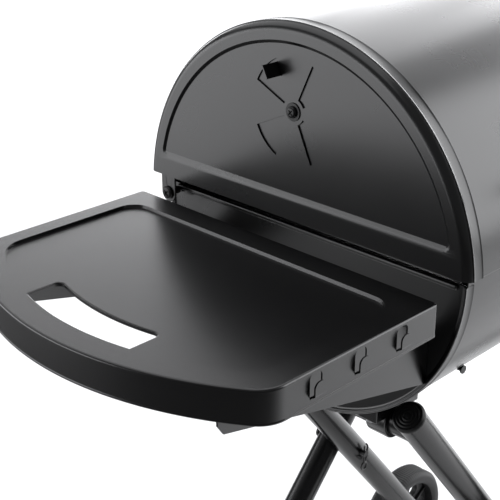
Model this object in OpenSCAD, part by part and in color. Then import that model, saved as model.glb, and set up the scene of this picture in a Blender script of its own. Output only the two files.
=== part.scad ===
// Barrel charcoal grill: a half-round lid hinged on a half-round firebox, a fixed side shelf with a
// hand hole, and scissor legs that fold up under the barrel, with two wheels at the right-hand end.
// Inside the modules x runs from the lid's left rim to its right rim, y from the barrel's centre plane
// towards the hinge at the back, and z from the floor. placed() moves that to the part's own frame.

/* [Barrel] */
// Length of the lid between its two rims
barrel_length = 460; // [420:10:560]
// Outer radius of the lid's rims
lid_radius = 200; // [198:1:206]
// Outer radius of the firebox's rims
firebox_radius = 186; // [180:1:187]
// Height of the firebox's axis above the floor
firebox_axis_z = 665.5; // [660:0.5:700]
// How far the lid's axis lies below the firebox's axis
lid_axis_drop = 3; // [0:0.5:5]
// Thickness of the rolled sheet steel
sheet = 1.2; // [1:0.1:1.4]

/* [Lid] */
// Height of the lid's lower edge above the lid's axis
lid_edge_rise = 16.5; // [12:0.5:22]
// How far each drawn end of the lid bulges past its rim
lid_bulge = 6; // [5:0.5:8]
// Radius of the rounded edge of the drawn ends
lid_edge_round = 8; // [6:1:12]
// Depth of the D-shaped panel pressed into each end
panel_depth = 1.6; // [1:0.1:2]
// Radius of the D-shaped panel's arc
panel_radius = 183; // [175:1:186]
// Height of the panel's straight edge above the lid's axis
panel_chord = 37; // [34:0.5:50]
// How far the hinge pivot lies behind the centre plane
hinge_back = 174; // [170:1:176]
// How far the hinge pivot lies below the firebox's axis
hinge_drop = 6; // [4:0.5:10]
// Distance of the grip's axis in front of the centre plane
grip_forward = 230; // [225:1:250]
// Height of the grip's axis above the lid's axis
grip_rise = 84; // [70:1:100]
// Length of the grip
grip_length = 190; // [140:10:220]

/* [Vents] */
// Outer radius of the vent openings
vent_radius = 50; // [44:1:54]
// Inner radius of the vent openings
vent_inner = 12.5; // [11:0.5:15]
// Height of the lid vents above the lid's axis
vent_rise = 120; // [112:1:124]
// Depth of the air intake below the firebox's axis
intake_drop = 96; // [90:1:110]
// Angle of the damper tab above the horizontal when the vent is shut
tab_angle = 62; // [60:1:63]

/* [Shelf] */
// Width of the shelf from front to back
shelf_width = 372; // [340:2:372]
// Gap between the shelf's inner edge and the lid's left rim
shelf_gap = 29; // [26:1:40]
// How far the shelf reaches past the lid's left rim
shelf_reach = 287; // [270:1:320]
// Radius of the shelf's bowed outer edge
shelf_bow = 305; // [290:5:330]
// Corner radius of the shelf
shelf_corner = 28; // [20:1:34]
// Height of the shelf's turned-down sides
apron = 30; // [26:1:34]
// Width of the border around the sunk panel, at the front, the bow and the barrel
border = 25; // [22:1:28]
// Width of the border at the rear
rear_border = 20; // [18:1:28]
// Depth of the sunk panel
sunk = 3; // [2:0.5:4]

/* [Legs] */
// Radius of the leg tubes
tube_radius = 16; // [14:0.5:16]
// Wall of the leg tubes
tube_wall = 1.5; // [1.2:0.1:2]
// Distance of the fold hinge from the lid's left rim
fold_x = 77; // [70:1:90]
// Height of the fold hinge
fold_z = 460.5; // [450:0.5:461]
// Distance along the inner legs from the fold hinge to the wheel axle
axle_reach = 500; // [490:1:510]
// Distance along the inner legs from the fold hinge to the scissor pin
pin_reach = 235; // [225:1:240]
// Slope of the outer legs
outer_slope = 48.7; // [47:0.1:50]
// Distance of the inner legs from the centre plane
inner_side = 100; // [98:1:102]
// Distance of the outer legs from the centre plane
outer_side = 134; // [133:1:136]
// Height of the foot tube's axis
foot_z = 17; // [17:0.5:20]

/* [Wheels] */
// Radius of the wheels
wheel_radius = 70; // [65:1:72]
// Width of the wheels
wheel_width = 36; // [30:1:38]
// Radius of the axle
axle_radius = 5; // [4:0.5:6]

/* [Hidden] */
$fn = 96;

lid_axis_z = firebox_axis_z - lid_axis_drop;
hinge_z = firebox_axis_z - hinge_drop;
rim_width = 13.6;
firebox_inset = 10;
cap_recess = 3;
// The firebox's wall butts against the end plates, inside their turned-back rims.
shell_start = firebox_inset + cap_recess + sheet;
tab_reach = 16;
grip_radius = 10;
grip_angle = atan(grip_rise / grip_forward);
grip_reach = norm([grip_forward, grip_rise]);
grip_post_x = [barrel_length / 2 - grip_length / 2 + 20, barrel_length / 2 + grip_length / 2 - 20];
// The part's own origin is under the middle of its outer box.
middle_x = (barrel_length + lid_bulge + tab_reach - shelf_reach) / 2;
middle_y = (lid_radius - grip_forward - grip_radius) / 2;
// Lid ends: a plate with the D-shaped panel sunk into it
cap_plate = 3;
face_x = -lid_bulge;
face_back = face_x + cap_plate;
panel_x = face_x + panel_depth;
panel_corner = 12;
// The lid's wall butts against the inner ring of the ends, under their outer rims.
lap_start = face_x + lid_edge_round + 2;
// Vents: four openings of this angle, shut when the damper is turned by half a quarter
opening_angle = 40;
damper_radius = vent_radius + 6;
damper_gap = 0.4;
vent_pin = 3;
running = 0.05;
// Firebox walls reach up inside the lid
wall_rise = 26;
grate_drop = 18;
charcoal_drop = 120;
grate_width = 344;
rivet_x = [90, 230, 370];
// Shelf
shelf_z = firebox_axis_z;
shelf_sheet = 1.5;
bow_x = shelf_bow - shelf_reach;
bracket_side = 150;
hand_hole_y = 6;
hand_hole_length = 134;
hand_hole_width = 37;
hole_lip = 3;
hook_x = [-183.4, -132.4, -81.4];
hook_top = shelf_z - 2;
hook_bottom = shelf_z - 19.5;
hook_head = 12.4;
hook_neck = 6.4;
hook_stand = 5;
// Legs
inner_slope = asin((fold_z - wheel_radius) / axle_reach);
axle_x = fold_x + axle_reach * cos(inner_slope);
pin_x = fold_x + pin_reach * cos(inner_slope);
pin_z = fold_z - pin_reach * sin(inner_slope);
outer_up = (fold_z - pin_z) / sin(outer_slope);
outer_down = (pin_z - foot_z) / sin(outer_slope);
rest_x = pin_x + outer_up * cos(outer_slope);
foot_x = pin_x - outer_down * cos(outer_slope);
leg_overrun = 24;
// Half the length of the foot tube: its feet stand clear of the outer legs.
foot_end = outer_side + 32;
// A tube's end is shaped to the tube that it is welded to by a slightly larger cylinder.
cope_radius = tube_radius + 0.1;
scissor_pin = 4;
wheel_side = inner_side + tube_radius + 2;
saddle_side = 62;
saddle_width = 24;
saddle_bolt_x = 27;
saddle_half = 34;
saddle_bolt_reach = 38;
saddle_nut_rise = 34.5;
hinge_pin = 4;
bracket_bolt_z = [firebox_axis_z - 96, firebox_axis_z - 66];

// ---------- helpers ----------
module placed() {
    translate([-middle_x, -middle_y, 0]) children();
}

// Turns a flat outline drawn in (y, z) into a plate of this thickness from x0 towards +x.
module plate_x(x0, thickness) {
    translate([x0, 0, 0]) rotate([90, 0, 90]) linear_extrude(thickness) children();
}

// Turns a profile drawn in (radius, x) about the x direction at height z.
module turned_x(z) {
    translate([0, 0, z]) rotate([0, 90, 0]) rotate_extrude() children();
}

// The same part at the other end of the barrel.
module right_end() {
    translate([barrel_length, 0, 0]) mirror([1, 0, 0]) children();
}

module rod_x(radius, x0, x1, y, z) {
    translate([x0, y, z]) rotate([0, 90, 0]) cylinder(r = radius, h = x1 - x0);
}

module rod_y(radius, y0, y1, x, z) {
    translate([x, y1, z]) rotate([90, 0, 0]) cylinder(r = radius, h = y1 - y0);
}

// A bar in the plane of a leg: from the point (x, z) it runs down at this slope.
module sloped_rod(radius, x, y, z, slope, from, to) {
    translate([x, y, z]) rotate([0, 90 + slope, 0]) translate([0, 0, from])
        cylinder(r = radius, h = to - from);
}

module above(z) {
    translate([-1000, -1000, z]) cube([3000, 2000, 1000]);
}

module below(z) {
    translate([-1000, -1000, z - 1000]) cube([3000, 2000, 1000]);
}

// Four wedge openings about the origin, turned by an angle.
module vent_openings(turn) {
    far = 2 * vent_radius;
    for (quarter = [0:3])
        rotate(turn + 90 * quarter + 45) intersection() {
            difference() {
                circle(r = vent_radius);
                circle(r = vent_inner);
            }
            polygon([[0, 0], far * [cos(opening_angle / 2), sin(-opening_angle / 2)],
                far * [cos(opening_angle / 2), sin(opening_angle / 2)]]);
        }
}

// Segment of a circle above a chord, with rounded corners.
module rounded_segment(radius, chord, corner) {
    centre_y = sqrt(pow(radius - corner, 2) - pow(chord + corner, 2));
    reach = radius / (radius - corner);
    tangent = reach * [centre_y, chord + corner];
    intersection() {
        circle(r = radius);
        polygon([[-centre_y, chord], [centre_y, chord], [centre_y, chord + corner], 2 * tangent,
            [0, 3 * radius], [-2 * tangent[0], 2 * tangent[1]], [-centre_y, chord + corner]]);
    }
    for (side = [-1, 1]) translate([side * centre_y, chord + corner]) circle(r = corner);
}

// ---------- firebox ----------
module firebox_shell() {
    outer = firebox_radius - sheet;
    color("dimgray") placed() difference() {
        translate([0, 0, firebox_axis_z])
            plate_x(shell_start, barrel_length - 2 * shell_start) {
                difference() {
                    circle(r = outer);
                    circle(r = outer - sheet);
                    translate([-300, 0]) square([600, 300]);
                }
                for (side = [-1, 1]) mirror([side < 0 ? 1 : 0, 0])
                    translate([outer - sheet, 0]) square([sheet, wall_rise]);
            }
        saddle_bolt_holes();
        for (x = rivet_x, drop = [grate_drop, charcoal_drop]) ledge_rivet_holes(x, drop + 8);
    }
}

module ledge_rivet_holes(x, drop) {
    side = sqrt(pow(firebox_radius, 2) - pow(drop, 2));
    for (way = [-1, 1])
        rod_y(2.6, way * side - 20, way * side + 20, x, firebox_axis_z - drop);
}

module firebox_cap() {
    difference() {
        union() {
            difference() {
                turned_x(firebox_axis_z) {
                    translate([0, firebox_inset + cap_recess]) square([firebox_radius, sheet]);
                    translate([firebox_radius - sheet, firebox_inset]) square([sheet, 12]);
                }
                above(firebox_axis_z);
            }
            translate([firebox_inset, -176, firebox_axis_z - 5.5]) cube([cap_recess, 352, 5.5]);
        }
        rod_x(3.1, 0, 30, hinge_back, hinge_z);
    }
}

module firebox_cap_left() {
    color("dimgray") placed() difference() {
        firebox_cap();
        for (side = [-1, 1], z = bracket_bolt_z) rod_x(3.1, 0, 30, side * (bracket_side - 9), z);
    }
}

module firebox_cap_right() {
    color("dimgray") placed() right_end() difference() {
        firebox_cap();
        translate([0, 0, firebox_axis_z - intake_drop]) plate_x(0, 30) vent_openings(0);
        rod_x(vent_pin + 0.1, 0, 30, 0, firebox_axis_z - intake_drop);
    }
}

// Angle strip along each side wall that carries a grate.
module ledge_pair(drop, width) {
    side = sqrt(pow(firebox_radius - 2 * sheet, 2) - pow(drop + 14, 2)) - 0.3;
    for (way = [0, 1]) mirror([0, way, 0])
        translate([40, 0, firebox_axis_z - drop]) plate_x(0, barrel_length - 80) {
            translate([side - width, -sheet]) square([width, sheet]);
            translate([side - sheet, -14]) square([sheet, 14]);
        }
}

module grate_ledges() {
    color("silver") placed() difference() {
        ledge_pair(grate_drop, 14);
        for (x = rivet_x) ledge_rivet_holes(x, grate_drop + 8);
    }
}

module charcoal_ledges() {
    color("silver") placed() difference() {
        ledge_pair(charcoal_drop, 22);
        for (x = rivet_x) ledge_rivet_holes(x, charcoal_drop + 8);
    }
}

module ledge_rivets() {
    color("silver") placed()
        for (x = rivet_x, drop = [grate_drop, charcoal_drop]) {
            wall = sqrt(pow(firebox_radius - 2 * sheet, 2) - pow(drop + 14, 2)) - 0.3;
            outside = sqrt(pow(firebox_radius - sheet, 2) - pow(drop + 4, 2)) + 0.2;
            for (way = [0, 1]) mirror([0, way, 0]) {
                rod_y(2.5, wall - sheet - 1.5, outside + 1.5, x, firebox_axis_z - drop - 8);
                rod_y(4.2, wall - sheet - 1.5, wall - sheet, x, firebox_axis_z - drop - 8);
                rod_y(4.2, outside, outside + 1.5, x, firebox_axis_z - drop - 8);
            }
        }
}

// Wire grate: rods from front to back, welded on two or more cross rods.
module wire_grate(x0, x1, width, z, spacing, rod) {
    count = floor((x1 - x0 - 2 * rod) / spacing);
    start = (x0 + x1 - count * spacing) / 2;
    for (i = [0:count])
        rod_y(rod, -width / 2, width / 2, start + i * spacing, z + 3 * rod - 0.2);
    for (y = [-width / 2 + 4, -width / 6, width / 6, width / 2 - 4])
        rod_x(rod, x0, x1, y, z + rod);
}

module charcoal_grate() {
    color("gray") placed()
        wire_grate(46, barrel_length - 46, 230, firebox_axis_z - charcoal_drop, 17, 2.5);
}

module cooking_grate_left() {
    color("gainsboro") placed()
        wire_grate(26, barrel_length / 2 - 1, grate_width, firebox_axis_z - grate_drop, 12.5, 2);
}

module cooking_grate_right() {
    color("gainsboro") placed() right_end()
        wire_grate(26, barrel_length / 2 - 1, grate_width, firebox_axis_z - grate_drop, 12.5, 2);
}

// ---------- shelf ----------
// Outline of the shelf in (x, y), moved inwards by an inset on its three outer sides.
module shelf_outline(inset, inner_x) {
    bow = shelf_bow - inset;
    corner = shelf_corner - inset;
    half = shelf_width / 2 - inset;
    corner_x = bow_x - sqrt(pow(bow - corner, 2) - pow(half - corner, 2));
    tangent_x = bow_x - (bow_x - corner_x) * bow / (bow - corner);
    tangent_y = (half - corner) * bow / (bow - corner);
    intersection() {
        translate([bow_x, 0]) circle(r = bow, $fn = 240);
        polygon([[inner_x, -half], [corner_x, -half], [corner_x, corner - half],
            [2 * tangent_x - corner_x, -2 * tangent_y + half - corner],
            [-2 * shelf_reach, 0], [2 * tangent_x - corner_x, 2 * tangent_y - half + corner],
            [corner_x, half - corner], [corner_x, half], [inner_x, half]]);
    }
    for (side = [-1, 1]) translate([corner_x, side * (half - corner)]) circle(r = corner);
}

// Outline of the sunk panel, grown by an amount, with all four corners rounded.
module panel_outline(grow) {
    corner = 20 + grow;
    inner_x = -shelf_gap - border + grow;
    front = border - shelf_width / 2 - grow;
    rear = shelf_width / 2 - rear_border + grow;
    length = shelf_bow - bow_x + inner_x;
    translate([bow_x, 0]) intersection() {
        circle(r = shelf_bow - border + grow, $fn = 240);
        translate([-shelf_bow, 0]) union() {
            translate([0, front + corner]) square([length, rear - front - 2 * corner]);
            translate([0, front]) square([length - corner, rear - front]);
        }
    }
    for (y = [front + corner, rear - corner]) translate([inner_x - corner, y]) circle(r = corner);
}

// The hand hole lies against the panel's bowed side.
module hand_hole(grow) {
    front = hand_hole_y - hand_hole_length / 2 - grow;
    intersection() {
        translate([bow_x, 0]) difference() {
            circle(r = shelf_bow - border + grow, $fn = 240);
            circle(r = shelf_bow - border - hand_hole_width - grow, $fn = 240);
        }
        translate([-shelf_reach - 10, front]) square([shelf_reach, hand_hole_length + 2 * grow]);
    }
}

// One hook: a tongue cut out of the front side at x and bent outwards, with a narrow neck below.
module hook_tongue(x) {
    side = -shelf_width / 2;
    outer = side - hook_stand;
    inner = outer + shelf_sheet;
    foot = hook_bottom - 7;
    plate_x(x, hook_neck)
        polygon([[side + shelf_sheet, foot], [side + shelf_sheet, foot + 2.2], [inner, hook_bottom],
            [inner, hook_top - 6], [outer, hook_top - 6], [outer, hook_bottom - 0.6], [side, foot]]);
    translate([x, inner, 0]) rotate([90, 0, 0]) linear_extrude(shelf_sheet) {
        translate([0, hook_top - hook_head]) square([hook_head, hook_head - 5]);
        translate([5, hook_top - hook_head]) square([hook_head - 10, hook_head]);
        for (dx = [5, hook_head - 5]) translate([dx, hook_top - 5]) circle(r = 5);
    }
}

module shelf_panel() {
    bottom = shelf_z - apron;
    floor_z = shelf_z - sunk - shelf_sheet;
    color("dimgray") placed() {
        difference() {
            translate([0, 0, bottom]) linear_extrude(apron) shelf_outline(0, -shelf_gap);
            translate([0, 0, bottom - 1]) linear_extrude(apron - sunk - shelf_sheet + 1)
                shelf_outline(shelf_sheet, 1);
            translate([0, 0, floor_z - 1]) linear_extrude(sunk + 1) difference() {
                shelf_outline(shelf_sheet, 1);
                panel_outline(shelf_sheet);
            }
            translate([0, 0, shelf_z - sunk]) linear_extrude(sunk + 1) panel_outline(0);
            translate([0, 0, floor_z - 1]) linear_extrude(apron) hand_hole(0);
            for (x = hook_x) translate([x - 0.6, -shelf_width / 2 - 1, hook_bottom - 5])
                cube([hook_head + 1.2, shelf_sheet + 2, hook_top - hook_bottom + 4]);
        }
        translate([0, 0, floor_z - hole_lip]) linear_extrude(hole_lip) difference() {
            hand_hole(shelf_sheet);
            hand_hole(0);
        }
        for (x = hook_x) hook_tongue(x);
    }
}

// Gusset plate that carries the shelf: upright web, top flange and end flange.
module shelf_bracket() {
    top = shelf_z - sunk - shelf_sheet;
    root_x = firebox_inset + cap_recess;
    inner_end = -shelf_gap - 4;
    outer_end = bow_x - sqrt(pow(shelf_bow - 4, 2) - pow(bracket_side, 2));
    color("black") difference() {
        union() {
            translate([0, bracket_side, 0]) rotate([90, 0, 0]) linear_extrude(2)
                polygon([[root_x, top - 102], [root_x, top - 50], [inner_end, top - 26],
                    [inner_end, top], [outer_end, top], [outer_end, top - 32],
                    [outer_end + 6, top - 41]]);
            translate([outer_end + 4, bracket_side - 18, top - 2])
                cube([inner_end - outer_end - 4, 18, 2]);
            translate([root_x - 2, bracket_side - 18, top - 100]) cube([2, 18, 50]);
        }
        for (z = bracket_bolt_z) rod_x(3.1, 0, 30, bracket_side - 9, z);
    }
}

module shelf_bracket_front() {
    placed() mirror([0, 1, 0]) shelf_bracket();
}

module shelf_bracket_rear() {
    placed() shelf_bracket();
}

module bracket_bolts() {
    face = firebox_inset + cap_recess - 2;
    color("silver") placed() for (side = [-1, 1], z = bracket_bolt_z) {
        rod_x(3, face, face + 12, side * (bracket_side - 9), z);
        rod_x(5.2, face - 3, face, side * (bracket_side - 9), z);
    }
}

module bracket_nuts() {
    face = firebox_inset + cap_recess + sheet;
    color("silver") placed() for (side = [-1, 1], z = bracket_bolt_z)
        translate([face, side * (bracket_side - 9), z]) rotate([0, 90, 0]) hex_nut(5, 4, 3);
}

module hex_nut(half_width, height, bore) {
    difference() {
        cylinder(r = half_width / cos(30), h = height, $fn = 6);
        translate([0, 0, -1]) cylinder(r = bore, h = height + 2);
    }
}

// ---------- lid hinge ----------
// The head stands clear of the ear, the shank carries it, and a thinner thread holds the nut.
module hinge_screw() {
    rod_x(3, firebox_inset - 0.5, firebox_inset + 14, hinge_back, hinge_z);
    rod_x(hinge_pin, face_back - 1, firebox_inset, hinge_back, hinge_z);
    turned_head(face_back - 0.3, 7.5, 3.2, hinge_back, hinge_z);
}

// A domed screw head whose flat side is at x and which stands towards -x.
module turned_head(x, radius, height, y, z) {
    translate([x, y, z]) rotate([0, -90, 0]) rotate_extrude() intersection() {
        translate([0, -2 * radius + height]) circle(r = 2 * radius);
        square([radius, height]);
    }
}

module hinge_screws() {
    color("black") placed() {
        hinge_screw();
        right_end() hinge_screw();
    }
}

module hinge_nuts() {
    face = firebox_inset + cap_recess + sheet;
    color("silver") placed() {
        translate([face, hinge_back, hinge_z]) rotate([0, 90, 0]) hex_nut(4.5, 4, 3);
        right_end() translate([face, hinge_back, hinge_z]) rotate([0, 90, 0]) hex_nut(4.5, 4, 3);
    }
}

// Flat strip from the lid's end down to the hinge screw.
module lid_ear() {
    strip_top = hinge_z + 44;
    difference() {
        union() {
            plate_x(face_back, 2) {
                translate([hinge_back, hinge_z]) circle(r = 10);
                translate([hinge_back - 10, hinge_z]) square([20, 28]);
                translate([hinge_back - 18, hinge_z + 24]) square([28, strip_top - hinge_z - 24]);
            }
        }
        rod_x(hinge_pin + running, -10, 10, hinge_back, hinge_z);
        for (y = [-12, 4]) rod_x(2.6, -10, 10, hinge_back + y, strip_top - 7);
    }
}

module lid_ear_left() {
    color("dimgray") placed() lid_ear();
}

module lid_ear_right() {
    color("dimgray") placed() right_end() lid_ear();
}

module ear_rivet(y) {
    z = hinge_z + 37;
    rod_x(2.5, face_x + 0.4, face_back + 3.5, hinge_back + y, z);
    rod_x(4.2, face_back + 2, face_back + 3.5, hinge_back + y, z);
}

module ear_rivets() {
    color("dimgray") placed() for (y = [-12, 4]) {
        ear_rivet(y);
        right_end() ear_rivet(y);
    }
}

// ---------- lid ----------
module lid_shell() {
    outer = lid_radius - sheet;
    color("dimgray") placed() difference() {
        translate([0, 0, lid_axis_z]) plate_x(lap_start, barrel_length - 2 * lap_start) difference() {
            circle(r = outer);
            circle(r = outer - sheet);
            translate([-300, lid_edge_rise - 300]) square([600, 300]);
        }
        for (x = grip_post_x) grip_hole(x);
    }
}

// Puts children on the grip's radial line, with +z pointing away from the lid.
module on_grip_line(x) {
    translate([x, 0, lid_axis_z]) rotate([90 - grip_angle, 0, 0]) children();
}

module grip_hole(x) {
    on_grip_line(x) translate([0, 0, lid_radius - 20]) cylinder(r = 3.1, h = 30);
}

module lid_cap() {
    round_r = lid_radius - 1 - lid_edge_round;
    difference() {
        turned_x(lid_axis_z) {
            translate([0, face_x]) square([round_r, cap_plate]);
            translate([round_r, face_x + lid_edge_round]) difference() {
                circle(r = lid_edge_round);
                circle(r = lid_edge_round - cap_plate);
                translate([-20, -20]) square([20, 40]);
                translate([-20, 0]) square([40, 20]);
            }
            translate([lid_radius - 1 - cap_plate, face_x + lid_edge_round]) square([cap_plate, 2]);
            translate([lid_radius - sheet, 0]) square([sheet, rim_width]);
        }
        below(lid_axis_z + lid_edge_rise);
        translate([0, 0, lid_axis_z]) {
            plate_x(face_x - 1, panel_depth + 1) rounded_segment(panel_radius, panel_chord, panel_corner);
            translate([0, 0, vent_rise]) plate_x(-20, 30) vent_openings(0);
        }
        rod_x(vent_pin + 0.1, -20, 20, 0, lid_axis_z + vent_rise);
        for (y = [-12, 4]) rod_x(2.6, -10, 10, hinge_back + y, hinge_z + 37);
    }
}

module lid_cap_left() {
    color("dimgray") placed() lid_cap();
}

module lid_cap_right() {
    color("dimgray") placed() right_end() lid_cap();
}

module grip() {
    color("black") placed() difference() {
        rod_x(grip_radius, barrel_length / 2 - grip_length / 2, barrel_length / 2 + grip_length / 2,
            -grip_forward, lid_axis_z + grip_rise);
        for (x = grip_post_x) on_grip_line(x) cylinder(r = 3.1, h = grip_reach + 2);
    }
}

module grip_posts() {
    color("black") placed() for (x = grip_post_x) difference() {
        on_grip_line(x) translate([0, 0, lid_radius - sheet]) cylinder(r = 7, h = 60);
        grip_hole(x);
        on_grip_line(x) translate([0, 0, lid_radius - 20]) cylinder(r = 3.1, h = 90);
        rod_x(grip_radius, 0, barrel_length, -grip_forward, lid_axis_z + grip_rise);
        rod_x(lid_radius - sheet, 0, barrel_length, 0, lid_axis_z);
        on_grip_line(x) translate([-20, -20, grip_reach]) cube(40);
    }
}

module grip_screws() {
    inside = lid_radius - 2 * sheet - 0.3;
    color("silver") placed() for (x = grip_post_x) on_grip_line(x) {
        translate([0, 0, inside - 0.1]) cylinder(r = 3, h = grip_reach - inside);
        translate([0, 0, inside - 3]) cylinder(r = 5.5, h = 3);
    }
}

// ---------- vents ----------
// Damper plate with its inner side at x0 and a tab that stands out through an opening.
module damper(outside, x0, turn, z) {
    translate([0, 0, z]) {
        difference() {
            plate_x(x0, sheet) difference() {
                circle(r = damper_radius);
                vent_openings(45);
            }
            rod_x(vent_pin + running, -50, 50, 0, 0);
        }
        rotate([turn, 0, 0]) translate([outside, 34, -0.7]) cube([x0 - outside + sheet, 13, 1.4]);
    }
}

module damper_left() {
    color("black") placed()
        damper(face_x - tab_reach, face_back + damper_gap, tab_angle, lid_axis_z + vent_rise);
}

module damper_right() {
    color("black") placed() right_end()
        damper(face_x - tab_reach, face_back + damper_gap, tab_angle, lid_axis_z + vent_rise);
}

module intake_damper() {
    inside = firebox_inset + cap_recess + sheet + damper_gap;
    color("black") placed() right_end()
        damper(-3, inside, tab_angle, firebox_axis_z - intake_drop);
}

// Screw, washer and pivot of a damper; the washer lies on the outer face at x.
module vent_screw(x, inner_end, z) {
    rod_x(vent_pin, x - 1, inner_end, 0, z);
    rod_x(8.5, x - 1, x, 0, z);
    turned_head(x - 1, 5.5, 3, 0, z);
}

module vent_screws() {
    color("black") placed() {
        vent_screw(panel_x, 7, lid_axis_z + vent_rise);
        right_end() vent_screw(panel_x, 7, lid_axis_z + vent_rise);
    }
}

module vent_nuts() {
    inside = face_back + damper_gap + sheet + 0.4;
    color("silver") placed() {
        translate([inside, 0, lid_axis_z + vent_rise]) rotate([0, 90, 0]) hex_nut(5, 4, vent_pin);
        right_end() translate([inside, 0, lid_axis_z + vent_rise]) rotate([0, 90, 0])
            hex_nut(5, 4, vent_pin);
    }
}

module intake_screw() {
    face = firebox_inset + cap_recess;
    z = firebox_axis_z - intake_drop;
    color("black") placed() right_end() {
        vent_screw(face, face + 9, z);
        translate([face + 3.2, 0, z]) rotate([0, 90, 0]) hex_nut(5, 4, vent_pin - 0.1);
    }
}

// ---------- leg saddles ----------
module saddle_bolt_holes() {
    for (side = [-1, 1], way = [-1, 1])
        translate([fold_x + way * saddle_bolt_x, side * saddle_side, fold_z])
            cylinder(r = 3.1, h = 60);
}

// Block between the barrel and the inner frame's cross tube, which turns in it.
module saddle(side) {
    color("black") difference() {
        union() {
            translate([fold_x - saddle_half, side * saddle_side - saddle_width / 2, fold_z + 8])
                cube([2 * saddle_half, saddle_width, 40]);
            rod_y(tube_radius + 5, side * saddle_side - saddle_width / 2,
                side * saddle_side + saddle_width / 2, fold_x, fold_z);
        }
        rod_x(firebox_radius - sheet, -50, barrel_length, 0, firebox_axis_z);
        rod_y(tube_radius + running, -120, 120, fold_x, fold_z);
        saddle_bolt_holes();
    }
}

module saddle_front() {
    placed() saddle(-1);
}

module saddle_rear() {
    placed() saddle(1);
}

// Hook plate against which the outer frame's cross tube stops when the legs are open.
module leg_stop() {
    stop_x = rest_x - tube_radius - 0.5;
    color("black") placed() difference() {
        translate([stop_x - 10, -20, fold_z - 6]) cube([10, 40, 40]);
        rod_x(firebox_radius - sheet, -50, barrel_length, 0, firebox_axis_z);
    }
}

// Bolt heads sit under the saddle's flanges, with the threads inside the firebox.
module saddle_bolts() {
    color("silver") placed() for (side = [-1, 1], way = [-1, 1])
        translate([fold_x + way * saddle_bolt_x, side * saddle_side, fold_z + 5]) {
            cylinder(r = 5, h = 3);
            cylinder(r = 3, h = saddle_bolt_reach);
        }
}

module saddle_nuts() {
    color("silver") placed() for (side = [-1, 1], way = [-1, 1])
        translate([fold_x + way * saddle_bolt_x, side * saddle_side, fold_z + saddle_nut_rise])
            hex_nut(5, 4, 3);
}

// ---------- inner frame ----------
module inner_leg(side) {
    y = side * inner_side;
    color("dimgray") difference() {
        sloped_rod(tube_radius, fold_x, y, fold_z, inner_slope, -leg_overrun, axle_reach + 20);
        sloped_rod(tube_radius - tube_wall, fold_x, y, fold_z, inner_slope, -leg_overrun - 1,
            axle_reach + 21);
        rod_y(scissor_pin + running, y - 20, y + 20, pin_x, pin_z);
        rod_y(axle_radius + running, y - 20, y + 20, axle_x, wheel_radius);
    }
}

module inner_leg_front() {
    placed() inner_leg(-1);
}

module inner_leg_rear() {
    placed() inner_leg(1);
}

module inner_cross_tube() {
    color("dimgray") placed() difference() {
        rod_y(tube_radius, -inner_side, inner_side, fold_x, fold_z);
        rod_y(tube_radius - tube_wall, -inner_side - 1, inner_side + 1, fold_x, fold_z);
        for (side = [-1, 1])
            sloped_rod(cope_radius, fold_x, side * inner_side, fold_z, inner_slope, -50, 50);
    }
}

// End plug of a leg tube: a stem inside the tube and a cap over its end.
module plug(x, y, z, slope, end, way) {
    reach = [end - 14 * way, end, end + 7 * way];
    sloped_rod(tube_radius - tube_wall, x, y, z, slope, min(reach[0], reach[1]),
        max(reach[0], reach[1]));
    sloped_rod(tube_radius + 1, x, y, z, slope, min(reach[1], reach[2]), max(reach[1], reach[2]));
}

module inner_plugs() {
    color("black") placed() for (side = [-1, 1]) {
        plug(fold_x, side * inner_side, fold_z, inner_slope, -leg_overrun, -1);
        plug(fold_x, side * inner_side, fold_z, inner_slope, axle_reach + 20, 1);
    }
}

module wheel_axle() {
    color("silver") placed()
        rod_y(axle_radius, -wheel_side - wheel_width - 6, wheel_side + wheel_width + 6,
            axle_x, wheel_radius);
}

// Domed push-on caps that keep the wheels on the axle.
module axle_caps() {
    color("black") placed() for (way = [0, 1]) mirror([0, way, 0]) difference() {
        translate([axle_x, wheel_side + wheel_width + 0.6, wheel_radius]) rotate([-90, 0, 0])
            rotate_extrude() intersection() {
                translate([0, -8]) circle(r = 16);
                square([10, 8]);
            }
        rod_y(axle_radius, 0, wheel_side + wheel_width + 6, axle_x, wheel_radius);
    }
}

module scissor_pins() {
    inside = inner_side - tube_radius - 7;
    outside = outer_side + tube_radius + 0.5;
    color("silver") placed() for (way = [0, 1]) mirror([0, way, 0]) difference() {
        union() {
            rod_y(scissor_pin, inside, outside + 1, pin_x, pin_z);
            rod_y(8, outside, outside + 3, pin_x, pin_z);
            rod_y(9, inner_side + tube_radius, outer_side - tube_radius - 0.4, pin_x, pin_z);
        }
        translate([pin_x, inside + 3, pin_z - 10]) cylinder(r = 1.3, h = 20);
    }
}

// Spring clip through the end of each scissor pin, hanging from its loop.
module hairpin_clips() {
    inside = inner_side - tube_radius - 4;
    color("black") placed() for (way = [0, 1]) mirror([0, way, 0]) {
        translate([pin_x, inside, pin_z - 18]) cylinder(r = 1.2, h = 28);
        translate([pin_x, inside, pin_z - 24]) rotate([90, 0, 0]) rotate_extrude()
            translate([6, 0]) circle(r = 1.2);
    }
}

// ---------- outer frame ----------
module outer_leg(side) {
    y = side * outer_side;
    color("dimgray") difference() {
        sloped_rod(tube_radius, pin_x, y, pin_z, -outer_slope, -outer_down,
            outer_up + leg_overrun);
        sloped_rod(tube_radius - tube_wall, pin_x, y, pin_z, -outer_slope, -outer_down,
            outer_up + leg_overrun + 1);
        rod_y(scissor_pin + running, y - 20, y + 20, pin_x, pin_z);
        rod_y(cope_radius, -200, 200, foot_x, foot_z);
    }
}

module outer_leg_front() {
    placed() outer_leg(-1);
}

module outer_leg_rear() {
    placed() outer_leg(1);
}

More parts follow.
